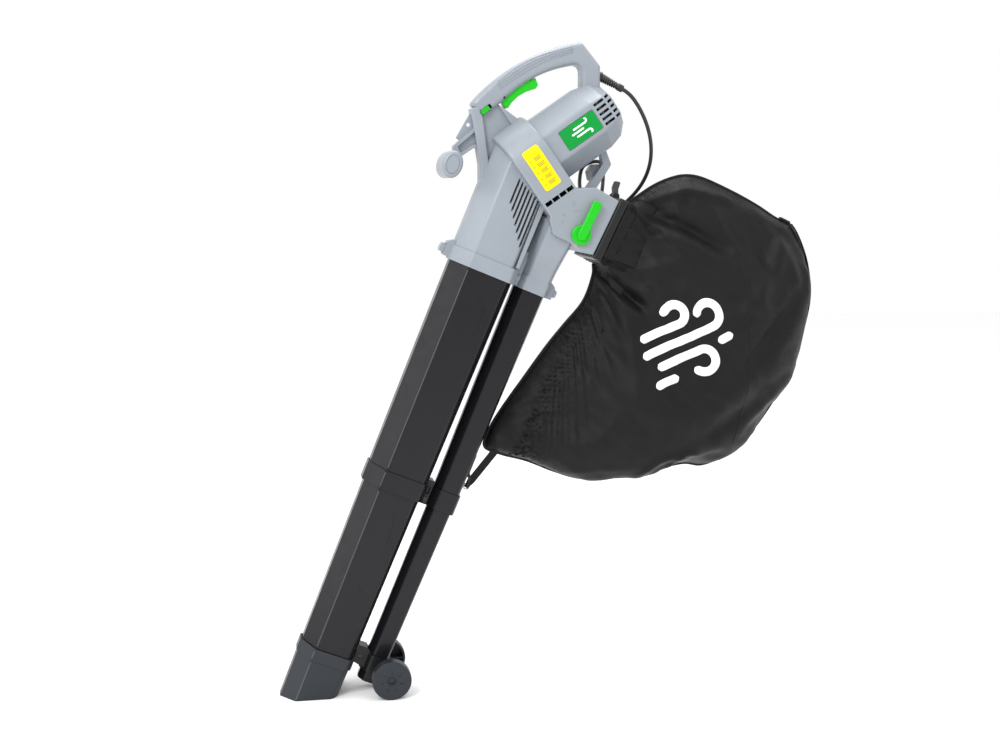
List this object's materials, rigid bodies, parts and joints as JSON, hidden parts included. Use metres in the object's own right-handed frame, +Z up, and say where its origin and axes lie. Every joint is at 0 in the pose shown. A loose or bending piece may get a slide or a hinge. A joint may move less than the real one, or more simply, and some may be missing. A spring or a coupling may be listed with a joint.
{
  "type": "leaf blower",
  "caption": "Corded blower vac with loop handle, T-shaped front grip, fan drum, twin faceted tubes, floor wheels, diverter lever and soft collecting bag.",
  "frame": {"origin": "middle of the main grip's bar", "axes": "+X rearward towards the user, +Y to the right-hand side, +Z up; the tubes lean forward and the nozzle mouth and wheels end at z = -1.055 m"},
  "size_m": [0.9281, 0.2212, 1.0876],
  "materials": {
    "housing_grey": "fine satin moulded texture",
    "tube_black": "satin moulded surface",
    "hard_black": "fine matt texture",
    "slate": "matt, slightly bluish",
    "lime": "bright, smooth",
    "badge_green": "smooth inlay",
    "sticker_yellow": "printed film",
    "steel": "turned",
    "laminations": "stacked sheet",
    "copper": "enamelled winding",
    "motor_alloy": "cast",
    "carbon": "dull",
    "bag_fabric": "woven, slight sheen",
    "cord_rubber": "satin jacket",
    "pin_metal": "nickel plated",
    "grey_grip": "ribbed"
  },
  "bodies": {
    "housing": {"housing_left": "housing_grey", "housing_right": "housing_grey", "motor_plate": "motor_alloy", "badge_left": "badge_green", "badge_right": "badge_green", "sticker": "sticker_yellow", "front_handle": "housing_grey", "front_handle_caps": "housing_grey", "cord_hook": "housing_grey", "trigger_pin": "steel", "trigger_spring": "steel", "switch_module": "hard_black", "capacitor": "sticker_yellow", "inner_wiring": "cord_rubber", "strain_relief": "cord_rubber", "mains_lead": "cord_rubber", "plug_body": "cord_rubber", "plug_pins": "pin_metal", "stator": "laminations", "field_coils": "copper", "brush_holders": "hard_black", "carbon_brushes": "carbon", "front_bearing": "steel", "rear_bearing": "steel", "suction_tube_upper": "tube_black", "suction_tube_lower": "tube_black", "blow_tube_upper": "tube_black", "blow_tube_lower": "tube_black", "nozzle": "slate", "tube_clamp_middle": "hard_black", "tube_clamp_lower": "hard_black", "clamp_screws": "steel", "axle": "steel", "axle_clips": "steel", "tube_safety_switch": "hard_black", "latch_springs": "steel", "bag_collar": "hard_black", "bag": "bag_fabric", "bag_zip_slider": "hard_black", "bag_strap": "bag_fabric", "strap_hook": "steel", "strap_lug": "hard_black", "housing_screws": "steel"},
    "trigger": {"trigger": "lime"},
    "lock_slider": {"lock_slider": "lime"},
    "diverter": {"diverter_lever": "lime", "diverter_shaft": "steel", "diverter_flap": "hard_black"},
    "rotor": {"motor_shaft": "steel", "armature": "laminations", "commutator": "copper", "cooling_fan": "hard_black", "impeller": "motor_alloy", "shredder_blade": "steel", "impeller_nut": "steel"},
    "wheel_left": {"wheel_left": "slate"},
    "wheel_right": {"wheel_right": "slate"},
    "suction_latch": {"suction_latch": "housing_grey"},
    "blow_latch": {"blow_latch": "housing_grey"},
    "bag_clip": {"bag_clip": "grey_grip"}
  },
  "joints": [
    {"name": "trigger_squeeze", "type": "hinge", "parent": "housing", "child": "trigger", "pos_m": [-0.071, 0, -0.058], "axis": [0, -1, 0], "range_deg": [0, 6.5], "stiffness_Nm_per_rad": 0.6, "springref_deg": -17.19},
    {"name": "lock_slide", "type": "slide", "parent": "housing", "child": "lock_slider", "axis": [0.7902, 0, 0.6129], "range_m": [0, 0.005]},
    {"name": "diverter_turn", "type": "hinge", "parent": "housing", "child": "diverter", "pos_m": [0.04586, 0, -0.27996], "axis": [0, -1, 0], "range_deg": [0, 54]},
    {"name": "rotor_spin", "type": "hinge", "parent": "housing", "child": "rotor", "pos_m": [-0.0531, 0, -0.1798], "axis": [0.8241, 0, 0.5664], "continuous": true},
    {"name": "wheel_left_roll", "type": "hinge", "parent": "housing", "child": "wheel_left", "pos_m": [-0.27, -0.0545, -1.022], "axis": [0, 1, 0], "continuous": true},
    {"name": "wheel_right_roll", "type": "hinge", "parent": "housing", "child": "wheel_right", "pos_m": [-0.27, 0.0545, -1.022], "axis": [0, 1, 0], "continuous": true},
    {"name": "suction_latch_press", "type": "slide", "parent": "housing", "child": "suction_latch", "axis": [0.9232, 0, -0.3843], "range_m": [0, 0.0025], "stiffness_N_per_m": 800, "springref_m": -0.003, "deforming": ["latch_springs"]},
    {"name": "blow_latch_press", "type": "slide", "parent": "housing", "child": "blow_latch", "axis": [-0.9232, 0, 0.3843], "range_m": [0, 0.0025], "stiffness_N_per_m": 800, "springref_m": -0.003, "deforming": ["latch_springs"]},
    {"name": "bag_clip_press", "type": "hinge", "parent": "housing", "child": "bag_clip", "pos_m": [0.12037, 0, -0.21674], "axis": [0, 1, 0], "range_deg": [0, 12], "stiffness_Nm_per_rad": 0.3, "springref_deg": -11.46}
  ]
}
